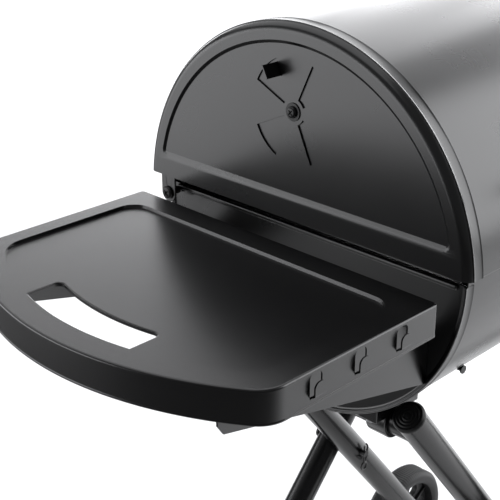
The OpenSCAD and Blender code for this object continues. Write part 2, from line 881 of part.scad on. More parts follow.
module outer_cross_tube() {
    color("dimgray") placed() difference() {
        rod_y(tube_radius, -outer_side, outer_side, rest_x, fold_z);
        rod_y(tube_radius - tube_wall, -outer_side - 1, outer_side + 1, rest_x, fold_z);
        for (side = [-1, 1])
            sloped_rod(cope_radius, rest_x, side * outer_side, fold_z, -outer_slope, -50, 50);
    }
}

module foot_tube() {
    color("dimgray") placed() difference() {
        rod_y(tube_radius, -foot_end, foot_end, foot_x, foot_z);
        rod_y(tube_radius - tube_wall, -foot_end - 1, foot_end + 1, foot_x, foot_z);
    }
}

// Plastic feet on the ends of the foot tube, flat where they stand on the floor.
module feet() {
    color("black") placed() for (way = [0, 1]) mirror([0, way, 0]) difference() {
        rod_y(tube_radius + 2, foot_end - 14, foot_end + 6, foot_x, foot_z);
        rod_y(tube_radius, foot_end - 15, foot_end, foot_x, foot_z);
        below(0);
    }
}

module outer_plugs() {
    color("black") placed() for (side = [-1, 1])
        plug(pin_x, side * outer_side, pin_z, -outer_slope, outer_up + leg_overrun, 1);
}

// ---------- wheels ----------
// Moulded wheel whose inner face is at y0: tread, rim, web with holes and hub.
module wheel(y0) {
    middle = wheel_width / 2;
    color("black") translate([axle_x, y0 + middle, wheel_radius]) rotate([90, 0, 0]) difference() {
        rotate_extrude() {
            translate([wheel_radius - 10, -middle]) difference() {
                square([10, wheel_width]);
                translate([10, wheel_width]) rotate(45) square(4, center = true);
                translate([10, 0]) rotate(45) square(4, center = true);
            }
            translate([10, -2.5]) square([wheel_radius - 15, 5]);
            translate([axle_radius + 3, -middle]) square([8, wheel_width]);
        }
        for (i = [0:5]) rotate(60 * i) translate([wheel_radius * 0.52, 0, -5])
            cylinder(r = wheel_radius * 0.14, h = 10);
    }
}

module wheel_front() {
    placed() mirror([0, 1, 0]) wheel(wheel_side);
}

module wheel_rear() {
    placed() wheel(wheel_side);
}

// Sleeve pressed into the hub, which runs on the axle.
module bush(y0) {
    color("gray") difference() {
        rod_y(axle_radius + 3, y0, y0 + wheel_width, axle_x, wheel_radius);
        rod_y(axle_radius + running, y0 - 1, y0 + wheel_width + 1, axle_x, wheel_radius);
    }
}

module bush_front() {
    placed() mirror([0, 1, 0]) bush(wheel_side);
}

module bush_rear() {
    placed() bush(wheel_side);
}

firebox_shell();
firebox_cap_left();
firebox_cap_right();
grate_ledges();
charcoal_ledges();
ledge_rivets();
charcoal_grate();
cooking_grate_left();
cooking_grate_right();
shelf_panel();
shelf_bracket_front();
shelf_bracket_rear();
bracket_bolts();
bracket_nuts();
hinge_screws();
hinge_nuts();
saddle_front();
saddle_rear();
leg_stop();
saddle_bolts();
saddle_nuts();
intake_screw();
intake_damper();
lid_shell();
lid_cap_left();
lid_cap_right();
lid_ear_left();
lid_ear_right();
ear_rivets();
grip();
grip_posts();
grip_screws();
vent_screws();
vent_nuts();
damper_left();
damper_right();
inner_leg_front();
inner_leg_rear();
inner_cross_tube();
inner_plugs();
wheel_axle();
axle_caps();
scissor_pins();
hairpin_clips();
outer_leg_front();
outer_leg_rear();
outer_cross_tube();
foot_tube();
feet();
outer_plugs();
wheel_front();
wheel_rear();
bush_front();
bush_rear();
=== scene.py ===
import math

import bmesh
import bpy
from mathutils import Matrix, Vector
from mathutils.geometry import tessellate_polygon


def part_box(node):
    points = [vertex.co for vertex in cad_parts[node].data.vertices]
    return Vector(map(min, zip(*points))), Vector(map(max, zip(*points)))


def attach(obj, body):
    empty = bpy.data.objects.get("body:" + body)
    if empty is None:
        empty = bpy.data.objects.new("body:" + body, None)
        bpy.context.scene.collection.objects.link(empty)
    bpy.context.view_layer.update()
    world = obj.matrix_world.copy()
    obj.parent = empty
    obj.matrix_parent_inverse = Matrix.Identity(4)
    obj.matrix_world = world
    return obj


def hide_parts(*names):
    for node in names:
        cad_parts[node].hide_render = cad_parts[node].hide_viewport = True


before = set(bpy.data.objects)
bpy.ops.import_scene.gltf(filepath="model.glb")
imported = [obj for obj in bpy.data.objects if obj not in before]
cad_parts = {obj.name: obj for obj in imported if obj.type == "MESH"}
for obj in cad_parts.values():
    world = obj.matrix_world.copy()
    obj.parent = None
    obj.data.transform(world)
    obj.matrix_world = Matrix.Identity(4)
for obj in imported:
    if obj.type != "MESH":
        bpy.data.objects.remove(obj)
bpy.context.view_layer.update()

# ---------- sizes read from the frame, in metres ----------
MM = 0.001
SHEET = 1.2 * MM
LEFT_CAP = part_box("lid_cap_left")
RIGHT_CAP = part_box("lid_cap_right")
BARREL_Y = (LEFT_CAP[0].y + LEFT_CAP[1].y) / 2
LID_RISE = LEFT_CAP[1].z - LEFT_CAP[0].z
LID_HALF = (LEFT_CAP[1].y - LEFT_CAP[0].y) / 2
LID_R = (LID_HALF ** 2 + LID_RISE ** 2) / (2 * LID_RISE)
LID_Z = LEFT_CAP[1].z - LID_R
LID_EDGE = LEFT_CAP[0].z - LID_Z
MIDDLE_X = (LEFT_CAP[0].x + RIGHT_CAP[1].x) / 2
FACE_X = LEFT_CAP[0].x
RIM_X = FACE_X + 6 * MM
RIM_END = LEFT_CAP[1].x
FIRE_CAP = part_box("firebox_cap_left")
FIRE_R = (FIRE_CAP[1].y - FIRE_CAP[0].y) / 2
FIRE_Z = FIRE_CAP[1].z
FIRE_X = FIRE_CAP[0].x
FIRE_RIM_END = FIRE_CAP[1].x
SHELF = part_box("shelf_panel")
SHELF_HALF = SHELF[1].y - BARREL_Y


def middle(node):
    low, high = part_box(node)
    return (low + high) / 2


# ---------- camera, floor and light ----------
# The heading is measured from +x towards +y, and the tilt down from level, both in degrees.
SENSOR_WIDTH = 36
CAMERA_LENS = 81.6
CAMERA_PLACE = (-0.8195, -0.638, 1.0745)
CAMERA_HEADING = 44.78
CAMERA_DOWN = 23.65
STUDIO_WHITE = (0.975, 0.98, 1.0)
SKY = (0.97, 0.98, 1.0, 1)
AMBIENT = 0.12
FLOOR_TONE = 0.92
FLOOR_HALF = 8.0
FLOOR_ROUGHNESS = 0.9
SHADE_CARD_HEIGHT = 0.5 * MM
# Tone of the painted shade that the paint reflects from the floor in front of the grill.
PAINTED_SHADE_TONE = 0.1

# Level direction along which the painted shade on the reflection card lifts to the pale floor tone, and
# where it starts and ends doing so.
PAINTED_SHADE_RAMPS = [((0.84, -0.54, 0), -0.65, -0.36), ((0.7, 0.7, 0), -1.3, -0.5)]

# Every softbox: name, place, what it points at, width, height, radiance.
SOFTBOXES = [
    ("overhead", (1.6, 2.2, 2.7), (1.6, 2.2, 0), 6.6, 5.2, 0.8),
    ("back", (3.7, 3.7, 1.4), (0, 0, 1.2), 5.4, 2.0, 3.5),
    ("right", (2.6, -2.0, 1.8), (0.1, 0, 0.6), 2.8, 3.2, 2.75),
    ("crown", (1.82, 0.9, 1.95), (0.25, 0, 0.86), 1.05, 1.15, 1.9),
    ("far_right", (4.6, -0.2, 0.9), (0, 0, 0.8), 2.6, 1.8, 3.0),
    ("left", (-1.15, 1.15, 0.56), (0, 0, 0.56), 1.9, 0.92, 1.5),
    ("left_band", (-1.15, 1.15, 0.86), (0, 0, 0.86), 1.9, 0.24, 4.0),
    ("floor_wash", (2.4, 0.2, 1.2), (1.1, 0.2, 0), 1.4, 1.4, 5.0),
]


def aim(thing, place, target):
    thing.location = place
    thing.rotation_euler = (Vector(target) - Vector(place)).to_track_quat("-Z", "Y").to_euler()


def make_camera():
    data = bpy.data.cameras.new("camera")
    data.sensor_width = SENSOR_WIDTH
    data.lens = CAMERA_LENS
    data.clip_start = 0.05
    data.clip_end = 100
    camera = bpy.data.objects.new("camera", data)
    bpy.context.scene.collection.objects.link(camera)
    camera.location = CAMERA_PLACE
    camera.rotation_euler = (math.radians(90 - CAMERA_DOWN), 0, math.radians(CAMERA_HEADING - 90))
    bpy.context.scene.camera = camera


def softbox(name, place, target, width, height, radiance):
    data = bpy.data.lights.new(name, "AREA")
    data.shape = "RECTANGLE"
    data.size = width
    data.size_y = height
    data.energy = radiance * math.pi * width * height
    data.color = STUDIO_WHITE
    light = bpy.data.objects.new(name, data)
    bpy.context.scene.collection.objects.link(light)
    light.visible_camera = False
    aim(light, place, target)


def make_studio():
    world = bpy.data.worlds.new("studio")
    world.use_nodes = True
    shader = world.node_tree.nodes["Background"]
    shader.inputs["Color"].default_value = SKY
    shader.inputs["Strength"].default_value = AMBIENT
    bpy.context.scene.world = world
    bpy.context.scene.view_settings.view_transform = "Standard"
    for name, place, target, width, height, radiance in SOFTBOXES:
        softbox(name, place, target, width, height, radiance)
    level_sheet("floor", 0, plain_floor())
    # A card seen only in reflections that carries painted shade: the paint reflects a floor darkened in
    # front of the grill.
    shade_card = level_sheet("painted_shade_card", SHADE_CARD_HEIGHT, painted_shade_reflection())
    shade_card.visible_camera = False
    shade_card.visible_diffuse = False
    shade_card.visible_shadow = False


def level_sheet(name, height, material):
    """Large level square that isn't part of the grill."""
    signs = ((-1, -1), (1, -1), (1, 1), (-1, 1))
    corners = [(x * FLOOR_HALF, y * FLOOR_HALF, height) for x, y in signs]
    sheet = mesh_object(name, corners, [(0, 1, 2, 3)])
    sheet.data.materials.append(material)
    return sheet


# ---------- finishes ----------
DRIFT_SCALE = 9.0
MOTTLE = 0.12


def plain_floor():
    material = bpy.data.materials.new("floor")
    material.use_nodes = True
    shader = material.node_tree.nodes["Principled BSDF"]
    shader.inputs["Base Color"].default_value = (FLOOR_TONE, FLOOR_TONE, FLOOR_TONE, 1)
    shader.inputs["Roughness"].default_value = FLOOR_ROUGHNESS
    return material


def painted_shade_reflection():
    """Painted shade seen only in the paint's reflections: pale behind the grill, painted dark in front
    of it where the floor lies in the grill's shade. The real floor stays evenly pale.
    """
    material = bpy.data.materials.new("painted_shade_card")
    material.use_nodes = True
    nodes = material.node_tree.nodes
    links = material.node_tree.links
    shader = nodes["Principled BSDF"]
    shader.inputs["Roughness"].default_value = FLOOR_ROUGHNESS
    place = nodes.new("ShaderNodeTexCoord")
    both = nodes.new("ShaderNodeMath")
    both.operation = "MULTIPLY"
    for socket, (way, dark, bright) in enumerate(PAINTED_SHADE_RAMPS):
        along = nodes.new("ShaderNodeVectorMath")
        along.operation = "DOT_PRODUCT"
        along.inputs[1].default_value = way
        links.new(place.outputs["Object"], along.inputs[0])
        ramp = nodes.new("ShaderNodeMapRange")
        ramp.interpolation_type = "SMOOTHSTEP"
        ramp.inputs["From Min"].default_value = dark
        ramp.inputs["From Max"].default_value = bright
        links.new(along.outputs["Value"], ramp.inputs["Value"])
        links.new(ramp.outputs["Result"], both.inputs[socket])
    tone = nodes.new("ShaderNodeMapRange")
    tone.inputs["To Min"].default_value = PAINTED_SHADE_TONE
    tone.inputs["To Max"].default_value = FLOOR_TONE
    links.new(both.outputs["Value"], tone.inputs["Value"])
    links.new(tone.outputs["Result"], shader.inputs["Base Color"])
    return material


def finish(name, colour, roughness, bump, grain, ior=1.5, metallic=0.0, rough_spread=0.04):
    """A painted, moulded or plated surface with a fine grain. Its tone and gloss drift slowly."""
    material = bpy.data.materials.new(name)
    material.use_nodes = True
    nodes = material.node_tree.nodes
    links = material.node_tree.links
    shader = nodes["Principled BSDF"]
    shader.inputs["Metallic"].default_value = metallic
    shader.inputs["IOR"].default_value = ior
    place = nodes.new("ShaderNodeTexCoord")
    drift = nodes.new("ShaderNodeTexNoise")
    drift.inputs["Scale"].default_value = DRIFT_SCALE
    drift.inputs["Detail"].default_value = 4
    links.new(place.outputs["Object"], drift.inputs["Vector"])
    tone = nodes.new("ShaderNodeValToRGB")
    tone.color_ramp.elements[0].position = 0.3
    tone.color_ramp.elements[1].position = 0.7
    tone.color_ramp.elements[0].color = [c * (1 - MOTTLE) for c in colour] + [1]
    tone.color_ramp.elements[1].color = [c * (1 + MOTTLE) for c in colour] + [1]
    links.new(drift.outputs["Fac"], tone.inputs["Fac"])
    links.new(tone.outputs["Color"], shader.inputs["Base Color"])
    gloss = nodes.new("ShaderNodeMapRange")
    gloss.inputs["From Min"].default_value = 0.3
    gloss.inputs["From Max"].default_value = 0.7
    gloss.inputs["To Min"].default_value = roughness - rough_spread
    gloss.inputs["To Max"].default_value = roughness + rough_spread
    links.new(drift.outputs["Fac"], gloss.inputs["Value"])
    links.new(gloss.outputs["Result"], shader.inputs["Roughness"])
    fine = nodes.new("ShaderNodeTexNoise")
    fine.inputs["Scale"].default_value = grain
    fine.inputs["Detail"].default_value = 2
    links.new(place.outputs["Object"], fine.inputs["Vector"])
    relief = nodes.new("ShaderNodeBump")
    relief.inputs["Strength"].default_value = bump
    relief.inputs["Distance"].default_value = 0.1 * MM
    links.new(fine.outputs["Fac"], relief.inputs["Height"])
    links.new(relief.outputs["Normal"], shader.inputs["Normal"])
    return material


# ---------- mesh helpers ----------
def mesh_object(name, points, faces):
    mesh = bpy.data.meshes.new(name)
    mesh.from_pydata([tuple(p) for p in points], [], faces)
    mesh.update()
    thing = bpy.data.objects.new(name, mesh)
    bpy.context.scene.collection.objects.link(thing)
    return thing


class Shape:
    """Points and faces of one mesh, built from rings of points."""

    def __init__(self):
        self.points = []
        self.faces = []

    def ring(self, points):
        start = len(self.points)
        self.points += [Vector(p) for p in points]
        return list(range(start, len(self.points)))

    def join(self, a, b, closed=True):
        count = len(a)
        for i in range(count if closed else count - 1):
            j = (i + 1) % count
            self.faces.append((a[i], a[j], b[j], b[i]))

    def loft(self, rings, closed=True):
        made = [self.ring(r) for r in rings]
        for a, b in zip(made, made[1:]):
            self.join(a, b, closed)
        return made

    def fill(self, rings, towards):
        """Flat faces between an outer ring and the holes in it, facing the given way."""
        order = [i for ring in rings for i in ring]
        for a, b, c in tessellate_polygon([[self.points[i] for i in ring] for ring in rings]):
            a, b, c = order[a], order[b], order[c]
            p, q, r = self.points[a], self.points[b], self.points[c]
            if (q - p).cross(r - p).length < 1e-12:
                continue
            if (q - p).cross(r - p).dot(Vector(towards)) < 0:
                b, c = c, b
            self.faces.append((a, b, c))

    def made(self, name):
        thing = mesh_object(name, self.points, self.faces)
        weld_and_orient(thing.data)
        return thing


def weld_and_orient(mesh):
    work = bmesh.new()
    work.from_mesh(mesh)
    bmesh.ops.remove_doubles(work, verts=work.verts, dist=1e-6)
    bmesh.ops.dissolve_degenerate(work, edges=work.edges, dist=1e-7)
    bmesh.ops.recalc_face_normals(work, faces=work.faces)
    work.to_mesh(mesh)
    work.free()
    mesh.update()


def join_objects(name, things):
    """One object from several, so that one piece stands for one CAD node."""
    bpy.ops.object.select_all(action="DESELECT")
    for thing in things:
        thing.select_set(True)
    bpy.context.view_layer.objects.active = things[0]
    bpy.ops.object.join()
    things[0].name = name
    things[0].data.name = name
    return things[0]


def thicken(thing, thickness, offset=-1.0, even=True):
    solid = thing.modifiers.new("thickness", "SOLIDIFY")
    solid.thickness = thickness
    solid.offset = offset
    solid.use_even_offset = even


def soften(thing, width, segments, angle):
    bevel = thing.modifiers.new("edges", "BEVEL")
    bevel.width = width
    bevel.segments = segments
    bevel.limit_method = "ANGLE"
    bevel.angle_limit = math.radians(angle)


def flatten(thing):
    """Makes every modifier real, so that the mesh is what is shown."""
    bpy.context.view_layer.update()
    graph = bpy.context.evaluated_depsgraph_get()
    mesh = bpy.data.meshes.new_from_object(thing.evaluated_get(graph))
    thing.modifiers.clear()
    old = thing.data
    thing.data = mesh
    mesh.name = thing.name
    bpy.data.meshes.remove(old)
    return thing


def settle(thing, body, nodes, material, angle=30, weighted=True):
    """Shading, finish, body, and hiding the CAD nodes that the piece stands for."""
    flatten(thing)
    for polygon in thing.data.polygons:
        polygon.use_smooth = True
    thing.data.set_sharp_from_angle(angle=math.radians(angle))
    if weighted:
        modifier = thing.modifiers.new("normals", "WEIGHTED_NORMAL")
        modifier.keep_sharp = True
        modifier.weight = 100
    thing.data.materials.clear()
    thing.data.materials.append(material)
    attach(thing, body)
    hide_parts(*nodes)
    return thing


def mirrored(thing, about):
    """Turns the piece into its mirror image across the plane x = about."""
    for vertex in thing.data.vertices:
        vertex.co.x = 2 * about - vertex.co.x
    thing.data.flip_normals()
    return thing


def arc(centre, radius, start, end, steps):
    """Points (a, b) on an arc, angles in degrees."""
    turn = [math.radians(start + (end - start) * i / steps) for i in range(steps + 1)]
    return [(centre[0] + radius * math.cos(t), centre[1] + radius * math.sin(t)) for t in turn]


def prism(name, outline, start, end):
    """A closed outline (y, z) pushed along x."""
    shape = Shape()
    first, last = shape.loft([[(x, y, z) for y, z in outline] for x in (start, end)])
    shape.fill([first], (-1, 0, 0))
    shape.fill([last], (1, 0, 0))
    return shape.made(name)


def turned(name, profile, centre, axis, steps, closed=False):
    """A profile of (distance along the axis, radius) turned about an axis through a centre."""
    axis = Vector(axis).normalized()
    side = axis.orthogonal().normalized()
    up = axis.cross(side)
    shape = Shape()
    rings = []
    for along, radius in profile:
        ring = []
        for i in range(steps):
            t = 2 * math.pi * i / steps
            radial = side * math.cos(t) + up * math.sin(t)
            ring.append(Vector(centre) + axis * along + radial * max(radius, 1e-7))
        rings.append(ring)
    if closed:
        rings.append(rings[0])
    shape.loft(rings)
    return shape.made(name)


def swept(name, path, radius, steps, closed=False):
    """A round bar along a path."""
    path = [Vector(p) for p in path]
    shape = Shape()
    rings = []
    count = len(path)
    side = None
    for i, p in enumerate(path):
        before = path[(i - 1) % count] if closed or i > 0 else p
        after = path[(i + 1) % count] if closed or i < count - 1 else p
        along = (after - before).normalized()
        side = along.orthogonal() if side is None else side - along * side.dot(along)
        side.normalize()
        up = along.cross(side)
        rings.append([p + radius * (side * math.cos(t) + up * math.sin(t))
                      for t in (2 * math.pi * k / steps for k in range(steps))])
    if closed:
        rings.append(rings[0])
    made = shape.loft(rings)
    if not closed:
        for ring in (made[0], made[-1]):
            shape.faces.append(tuple(ring))
    return shape.made(name)


# ---------- barrel ends ----------
ARC_STEPS = 128
VENT_INNER = 12.5 * MM
VENT_OUTER = 50 * MM
VENT_OPENING = 40
PANEL_DEPTH = 1.8 * MM
EDGE_BEAD = 1.3 * MM


def half_ring(radius, x, height, axis_z, upper):
    """Half circle about the barrel's axis, cut off level at a height from that axis."""
    lean = math.asin(height / radius)
    angles = [lean + (math.pi - 2 * lean) * i / ARC_STEPS for i in range(ARC_STEPS + 1)]
    way = 1 if upper else -1
    return [(x, BARREL_Y + radius * math.cos(t), axis_z + way * radius * math.sin(t)) for t in angles]


def segment_loop(radius, chord, corner, x, axis_z):
    """Outline of a circle segment above a chord, with rounded corners."""
    centre_y = math.sqrt((radius - corner) ** 2 - (chord + corner) ** 2)
    lift = math.degrees(math.atan2(chord + corner, centre_y))
    points = arc((centre_y, chord + corner), corner, -90, lift, 10)
    points += arc((0, 0), radius, lift, 180 - lift, ARC_STEPS)[1:-1]
    points += arc((-centre_y, chord + corner), corner, 180 - lift, 270, 10)
    points.append((0.0, chord))
    return [(x, BARREL_Y + y, axis_z + z) for y, z in points]


def vent_loops(x, centre_z):
    """The four wedge openings of a vent."""
    loops = []
    for quarter in range(4):
        middle_angle = 45 + 90 * quarter
        low = middle_angle - VENT_OPENING / 2
        high = middle_angle + VENT_OPENING / 2
        points = arc((0, 0), VENT_OUTER, low, high, 10) + arc((0, 0), VENT_INNER, high, low, 4)
        loops.append([(x, BARREL_Y + y, centre_z + z) for y, z in points])
    return loops


def rim_profile(radius, start, end, depth):
    """Closed cross-section (radius, x) of a rim strip with a rounded bead along both edges."""
    bead = 1.2 * MM
    angles = [math.radians(10 * i) for i in range(19)]
    front = [(radius - bead + bead * math.cos(a), start + bead - bead * math.sin(a)) for a in angles]
    back = [(radius - bead + bead * math.cos(a), end - bead + bead * math.sin(a)) for a in angles]
    low = radius - 0.9 * MM
    outside = [(low, start + 3 * MM), (low, end - 2.8 * MM)]
    inside = [(radius - depth, end - bead), (radius - depth, start + bead)]
    return front[:2:-1] + outside + back[3:] + inside


def rim_strip(name, radius, start, end, height, axis_z, upper):
    shape = Shape()
    profile = rim_profile(radius, start, end, 2.6 * MM)
    rings = [shape.ring(half_ring(r, x, height, axis_z, upper)) for r, x in profile]
    for a, b in zip(rings, rings[1:] + rings[:1]):
        shape.join(a, b, closed=False)
    for end_ring in ([r[0] for r in rings], [r[-1] for r in rings]):
        shape.faces.append(tuple(end_ring))
    return shape.made(name)


def smooth_step(t):
    return t * t * (3 - 2 * t)


def lid_face(shape, flat_r):
    """Flat border of a lid end, the sunk D-shaped panel inside it and the vent's openings."""
    panel_r = 183 * MM
    chord = 36.8 * MM
    wall = 5.2 * MM
    arc_wall = 3 * MM
    panel_corner = 7.5 * MM
    loops = [segment_loop(flat_r, LID_EDGE, 0.01 * MM, FACE_X, LID_Z)]
    for t in (0, 0.5, 1):
        loops.append(segment_loop(panel_r - arc_wall * t, chord + wall * t, panel_corner - wall * t,
                                  FACE_X + PANEL_DEPTH * t, LID_Z))
    made = [shape.ring(loop) for loop in loops]
    for a, b in zip(made[1:], made[2:]):
        shape.join(a, b)
    shape.fill([made[0], made[1]], (-1, 0, 0))
    vent = vent_loops(FACE_X + PANEL_DEPTH, middle("vent_screws").z)
    holes = [shape.ring(loop) for loop in vent]
    shape.fill([made[-1]] + holes, (-1, 0, 0))


def lid_end():
    """Drawn end of the lid: its face, the rounded edge round it, and the rim strip."""
    round_r = 8 * MM
    flat_r = LID_R - MM - round_r
    shape = Shape()
    lid_face(shape, flat_r)
    edge = [half_ring(flat_r + round_r * math.sin(a), FACE_X + round_r * (1 - math.cos(a)),
                      LID_EDGE, LID_Z, True)
            for a in (math.radians(88 * i / 12) for i in range(13))]
    edge.append(half_ring(LID_R - 1.5 * MM, FACE_X + round_r + 2 * MM, LID_EDGE, LID_Z, True))
    shape.loft(edge, closed=False)
    end = shape.made("lid_end")
    thicken(end, 1.3 * MM, -1.0, False)
    soften(end, 0.25 * MM, 2, 50)
    strip = rim_strip("lid_rim", LID_R, RIM_X, RIM_END, LID_EDGE, LID_Z, True)
    flatten(end)
    return join_objects("lid_end", [end, strip])


def hem_outline(half, tall, corner, inset):
    """Rounded outline (y, z) of the hem, drawn in by an inset."""
    points = []
    for cy, cz, start in ((half - corner, -corner, 0), (corner - half, -corner, 90),
                          (corner - half, corner - tall, 180), (half - corner, corner - tall, 270)):
        points += arc((cy, cz), corner - inset, start, start + 90, 5)
    return points


def firebox_hem(back_x):
    """Hem folded along the firebox's top edge, with its front rounded."""
    half = 176 * MM
    tall = 5.5 * MM
    corner = 2.6 * MM
    round_r = 2 * MM
    fold = Shape()
    rings = []
    for a in (math.radians(90 * i / 8) for i in range(9)):
        inset = round_r * (1 - math.sin(a))
        rings.append([(FIRE_X + round_r * (1 - math.cos(a)), BARREL_Y + y, FIRE_Z + z)
                      for y, z in hem_outline(half, tall, corner, inset)])
    rings.append([(back_x, y, z) for _, y, z in rings[-1]])
    front, *_, back = fold.loft(rings)
    fold.fill([front], (-1, 0, 0))
    fold.fill([back], (1, 0, 0))
    return fold.made("hem")


def firebox_end(with_intake):
    """Recessed end of the firebox with its rounded rim and hem."""
    plate_x = FIRE_X + 3.2 * MM
    plate_r = FIRE_R - 6 * MM
    fillet = 2.6 * MM
    shape = Shape()
    loops = [half_ring(plate_r, plate_x, 0, FIRE_Z, False)]
    if with_intake:
        loops += vent_loops(plate_x, middle("intake_screw").z)
    shape.fill([shape.ring(loop) for loop in loops], (-1, 0, 0))
    turn = [half_ring(plate_r + fillet * math.sin(a), plate_x - fillet * (1 - math.cos(a)),
                      0, FIRE_Z, False)
            for a in (math.radians(80 * i / 8) for i in range(9))]
    turn.append(half_ring(FIRE_R - 1.6 * MM, FIRE_X + 0.6 * MM, 0, FIRE_Z, False))
    turn.append(half_ring(FIRE_R - 1.6 * MM, FIRE_X + 9 * MM, 0, FIRE_Z, False))
    shape.loft(turn, closed=False)
    end = shape.made("firebox_end")
    thicken(end, SHEET)
    flatten(end)
    strip = rim_strip("firebox_rim", FIRE_R, FIRE_X, FIRE_RIM_END, 0, FIRE_Z, False)
    return join_objects("firebox_end", [end, strip, firebox_hem(plate_x + 0.4 * MM)])


def curved_wall(name, radius, thickness, start, end, x0, x1, axis_z, bead):
    """Rolled sheet with a small bead along both edges. Angles in degrees about the barrel's axis."""
    outer = arc((0, 0), radius, start, end, 160)
    inner = arc((0, 0), radius - thickness, end, start, 160)
    outline = [(BARREL_Y + y, axis_z + z) for y, z in outer + inner]
    wall = prism(name, outline, x0, x1)
    edges = []
    for k, angle in enumerate((start, end)):
        t = math.radians(angle)
        y = BARREL_Y + (radius - bead) * math.cos(t)
        z = axis_z + (radius - bead) * math.sin(t)
        edges.append(swept(f"{name}_{k}", [(x0, y, z), (x1, y, z)], bead, 16))
    return join_objects(name, [wall] + edges)


def make_lid(paint):
    for name, node in (("lid_end_left", "lid_cap_left"), ("lid_end_right", "lid_cap_right")):
        end = lid_end()
        end.name = name
        if node == "lid_cap_right":
            mirrored(end, MIDDLE_X)
        settle(end, "lid", [node], paint, 28)
    lean = math.degrees(math.asin(LID_EDGE / LID_R)) + 0.3
    start = RIM_END - 3 * MM
    wall = curved_wall("lid_wall", LID_R - SHEET, SHEET, lean, 180 - lean, start, 2 * MIDDLE_X - start,
                       LID_Z, EDGE_BEAD)
    settle(wall, "lid", ["lid_shell"], paint, 30, False)


def make_firebox(paint):
    left = firebox_end(False)
    left.name = "firebox_end_left"
    settle(left, "grill_body", ["firebox_cap_left"], paint, 28)
    right = mirrored(firebox_end(True), MIDDLE_X)
    right.name = "firebox_end_right"
    settle(right, "grill_body", ["firebox_cap_right"], paint, 28)


# ---------- shelf ----------
BOW_R = 305 * MM
BOW_X = SHELF[0].x + BOW_R
BORDER = 25 * MM
REAR_BORDER = 20 * MM
SHELF_SHEET = 1.5 * MM
SHELF_SUNK = 3 * MM
INNER_STEPS = 8
CORNER_R = 28 * MM
BEND_R = 2.2 * MM
LIP_R = 1.3 * MM
SIDE_RECESS = 0.45 * MM
SHELF_FRONT = BARREL_Y - SHELF_HALF + SIDE_RECESS


def shelf_loop(front, rear, bow_r, corner, inner_x, inner_corner, z):
    """Outline of the shelf at one level. It starts and ends at the edge beside the barrel."""
    def bow_corner(half):
        centre_y = half - corner
        centre_x = BOW_X - math.sqrt((bow_r - corner) ** 2 - centre_y ** 2)
        return centre_x, centre_y, math.degrees(math.atan2(centre_y, BOW_X - centre_x))
    front_x, front_y, front_lean = bow_corner(front)
    rear_x, rear_y, rear_lean = bow_corner(rear)
    points = arc((inner_x - inner_corner, inner_corner - front), inner_corner, 0, -90, INNER_STEPS)
    points += arc((front_x, -front_y), corner, -90, front_lean - 180, 12)
    points += arc((BOW_X, 0), bow_r, front_lean - 180, -180 - rear_lean, 96)[1:-1]
    points += arc((rear_x, rear_y), corner, -180 - rear_lean, -270, 12)
    points += arc((inner_x - inner_corner, rear - inner_corner), inner_corner, 90, 0, INNER_STEPS)
    return [(x, BARREL_Y + y, z) for x, y in points]


def hand_hole_loop(z, grow):
    """Curved slot beside the shelf's bowed edge, with rounded inner corners."""
    outer_r = BOW_R - BORDER - 3.7 * MM + grow
    inner_r = BOW_R - BORDER - 37 * MM - grow
    front = -61 * MM - grow
    rear = 73 * MM + grow
    round_r = 9 * MM + grow

    def on_arc(radius, y):
        return Vector((BOW_X - math.sqrt(radius ** 2 - y ** 2), y))

    def inner_corner(y, way):
        tip = on_arc(inner_r, y)
        start = tip - Vector((round_r, 0))
        end = on_arc(inner_r, y + way * round_r)
        return [(1 - k) ** 2 * start + 2 * k * (1 - k) * tip + k * k * end
                for k in (i / 10 for i in range(11))]
    points = [on_arc(outer_r, rear + (front - rear) * i / 60) for i in range(61)]
    points += inner_corner(front, 1)
    straight = rear - front - 2 * round_r
    points += [on_arc(inner_r, front + round_r + straight * i / 48) for i in range(1, 48)]
    points += inner_corner(rear, -1)[::-1]
    return [(p.x, BARREL_Y + p.y, z) for p in points]


TONGUE_X = [SHELF[0].x + d * MM for d in (103.6, 154.6, 205.6)]
TONGUE_TOP = SHELF[1].z - 2 * MM
TONGUE_LENGTH = 24.5 * MM
TONGUE_WIDTH = 12.4 * MM
TONGUE_TIP = 18 * MM


def tongue(x0, side_y):
    """Hook bent out of the shelf's front side: a slanted foot and a blade with a rounded tip."""
    stand = 5 * MM
    foot = 4.5 * MM
    flush = 2.5 * MM
    round_r = 5.6 * MM
    rows = 36
    shape = Shape()
    left, right = [], []
    foot_z = TONGUE_TOP - TONGUE_LENGTH
    for i in range(rows + 1):
        v = flush + (TONGUE_TIP - flush) * (1 - (1 - i / rows) ** 1.6)
        out = stand * smooth_step(min((v - flush) / foot, 1))
        over = max(v - (TONGUE_TIP - round_r), 0)
        cut = round_r - math.sqrt(max(round_r ** 2 - over ** 2, 0))
        left.append((x0 + cut, side_y - out, foot_z + v))
        right.append((x0 + TONGUE_WIDTH - cut, side_y - out, foot_z + v))
    shape.loft([left, right], closed=False)
    piece = shape.made("tongue")
    faces_in = piece.data.polygons[5].normal.y > 0
    thicken(piece, SHELF_SHEET, 1.0 if faces_in else -1.0)
    soften(piece, 0.3 * MM, 2, 50)
    return flatten(piece)


def window_loop(x0, y):
    """Opening in the shelf's side that a tongue was cut from, with a rounded head."""
    corner = 4.6 * MM
    left, right = x0 - 0.6 * MM, x0 + TONGUE_WIDTH + 0.6 * MM
    bottom, top = TONGUE_TOP - TONGUE_LENGTH + 2.5 * MM, TONGUE_TOP - MM
    points = [(left, bottom), (right, bottom)]
    points += arc((right - corner, top - corner), corner, 0, 90, 8)
    points += arc((left + corner, top - corner), corner, 90, 180, 8)
    return [(px, y, pz) for px, pz in points]


